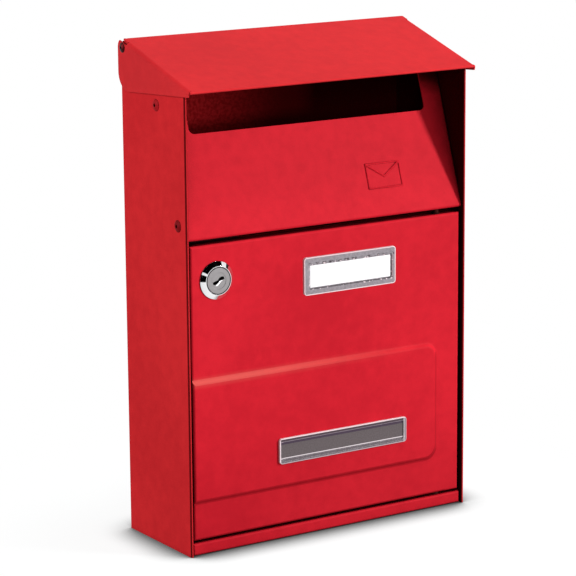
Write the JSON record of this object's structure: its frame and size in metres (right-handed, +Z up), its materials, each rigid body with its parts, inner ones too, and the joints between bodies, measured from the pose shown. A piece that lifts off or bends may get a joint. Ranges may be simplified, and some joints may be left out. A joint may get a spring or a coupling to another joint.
{
  "type": "letter box",
  "caption": "Red sheet steel wall letter box with a sloped slot panel, a lifting roof and a locked front door.",
  "frame": {"origin": "under the middle of the whole box, on the plane of its base", "axes": "+Z up along the height, +Y from the front to the wall, +X to the right seen from the front"},
  "size_m": [0.2178, 0.0866, 0.32],
  "materials": {
    "red_paint": "gloss powder coat",
    "black_steel": "blackened",
    "pin_steel": "plain",
    "zinc_steel": "zinc plated",
    "satin_nickel": "satin nickel",
    "lock_chrome": "polished",
    "clear_plastic": "clear moulded",
    "white_plastic": "moulded",
    "card": "uncoated card"
  },
  "bodies": {
    "case": {"case_shell": "red_paint", "bottom_tray": "red_paint", "slot_panel": "red_paint", "slot_rivet_upper_left": "red_paint", "slot_rivet_lower_left": "red_paint", "slot_rivet_upper_right": "red_paint", "slot_rivet_lower_right": "red_paint", "lid_rivet_left": "black_steel", "lid_rivet_right": "black_steel"},
    "roof": {"roof_lid": "red_paint"},
    "door": {"door_panel": "red_paint", "hinge_pin_upper": "pin_steel", "hinge_pin_lower": "pin_steel", "name_plate_cover": "clear_plastic", "name_card": "card", "name_plate_back": "white_plastic", "inspection_window": "clear_plastic", "lock_housing": "lock_chrome", "lock_nut": "zinc_steel"},
    "lock": {"lock_plug": "satin_nickel", "lock_cam": "zinc_steel", "cam_washer": "zinc_steel", "cam_screw": "zinc_steel"}
  },
  "joints": [
    {"name": "lid_hinge", "type": "hinge", "parent": "case", "child": "roof", "pos_m": [0, 0.0377, 0.3144], "axis": [-1, 0, 0], "range_deg": [0, 105]},
    {"name": "door_hinge", "type": "hinge", "parent": "case", "child": "door", "pos_m": [0.0863, -0.0285, 0.1041], "axis": [0, 0, 1], "range_deg": [0, 115]},
    {"name": "lock_turn", "type": "hinge", "parent": "door", "child": "lock", "pos_m": [-0.0843, -0.0331, 0.1756], "axis": [0, -1, 0], "range_deg": [0, 90]}
  ]
}
